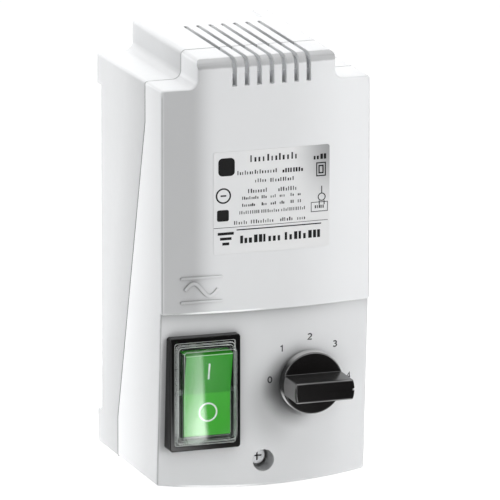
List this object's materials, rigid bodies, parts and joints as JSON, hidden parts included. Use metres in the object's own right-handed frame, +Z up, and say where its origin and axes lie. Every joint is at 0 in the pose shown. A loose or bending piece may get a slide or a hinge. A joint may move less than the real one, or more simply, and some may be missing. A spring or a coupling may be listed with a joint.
{
  "type": "wall-mounted autotransformer fan speed controller",
  "caption": "Wall-mounted autotransformer controller: ventilated two-part housing, covered rocker switch, stepped selector knob, wound core and cable glands.",
  "frame": {"origin": "centre of the four wall screw holes, on the wall plane", "axes": "+X to the right seen from the front, +Y towards the wall, +Z up"},
  "size_m": [0.11, 0.1243, 0.2382],
  "materials": {
    "housing_plastic": "fine moulded texture",
    "seal_rubber": "matt",
    "steel": "zinc plated",
    "brass": "machined",
    "tinned": "tinned",
    "label_foil": "satin foil",
    "baffle_plastic": "moulded",
    "laminations": "laminated, varnished",
    "bobbin_plastic": "glass filled",
    "copper": "enamelled",
    "wrap": "polyester tape",
    "cutout_body": "moulded",
    "black_gloss": "gloss",
    "black_plastic": "moulded",
    "deck_plastic": "phenolic",
    "rotor_plastic": "moulded",
    "clear_boot": "clear soft",
    "rocker_green": "translucent gloss",
    "lamp_glass": "clear",
    "resistor_body": "lacquered",
    "knob_black": "satin",
    "block_plastic": "moulded",
    "gland_plastic": "moulded",
    "lead_black": "insulated",
    "lead_brown": "insulated"
  },
  "bodies": {
    "housing": {"block_screws": "steel", "clamp_frame_front": "steel", "clamp_frame_rear": "steel", "coil_bobbin": "bobbin_plastic", "contact_deck": "deck_plastic", "core_bolts": "steel", "core_e_stack": "laminations", "core_i_stack": "laminations", "core_washers": "steel", "cover_insert": "brass", "cover_screw": "steel", "cover_seal": "seal_rubber", "cutout_clip": "steel", "front_cover": "housing_plastic", "gland_bodies": "gland_plastic", "gland_locknuts": "gland_plastic", "gland_nuts": "gland_plastic", "gland_seals": "seal_rubber", "index_balls": "steel", "index_deck": "black_plastic", "index_springs": "steel", "pillar_inserts": "brass", "rating_label": "label_foil", "rear_housing": "housing_plastic", "rocker_pin": "steel", "selector_contacts": "brass", "selector_front_plate": "black_plastic", "selector_nut": "steel", "selector_rear_plate": "deck_plastic", "selector_tie_screws": "steel", "selector_washer": "steel", "shaft_seal": "seal_rubber", "splash_boot": "clear_boot", "supply_leads": "lead_brown", "switch_bezel": "black_gloss", "switch_body": "black_plastic", "switch_terminals": "tinned", "tap_leads": "lead_black", "tap_tags": "tinned", "terminal_block": "block_plastic", "terminal_clamps": "brass", "terminal_screws": "steel", "thermal_cutout": "cutout_body", "vent_baffle": "baffle_plastic", "winding": "copper", "winding_wrap": "wrap"},
    "rocker_unit": {"rocker": "rocker_green", "neon_lamp": "lamp_glass", "lamp_resistor": "resistor_body"},
    "plunger_unit": {"plunger": "rotor_plastic", "plunger_spring": "steel"},
    "contact_unit": {"contact_arms": "brass"},
    "selector_unit": {"knob": "knob_black", "knob_set_screw": "steel", "selector_shaft": "steel", "index_wheel": "rotor_plastic", "selector_rotor": "rotor_plastic", "wiper": "brass", "retaining_clip": "steel"}
  },
  "joints": [
    {"name": "rocker_tilt", "type": "hinge", "parent": "housing", "child": "rocker_unit", "pos_m": [-0.033, -0.102, -0.0522], "axis": [-1, 0, 0], "range_deg": [0, 12]},
    {"name": "plunger_slide", "type": "slide", "parent": "rocker_unit", "child": "plunger_unit", "axis": [0, -0.9945, -0.1045], "range_m": [0, 0.0004]},
    {"name": "contact_tilt", "type": "hinge", "parent": "housing", "child": "contact_unit", "pos_m": [-0.033, -0.0895, -0.0522], "axis": [1, 0, 0], "range_deg": [0, 10]},
    {"name": "selector_turn", "type": "hinge", "parent": "housing", "child": "selector_unit", "pos_m": [0.0234, -0.1015, -0.0522], "axis": [0, -1, 0], "range_deg": [0, 180]}
  ],
  "couplings": [
    {"joint": "contact_tilt", "follows": "rocker_tilt", "ratio": 0.83333}
  ]
}
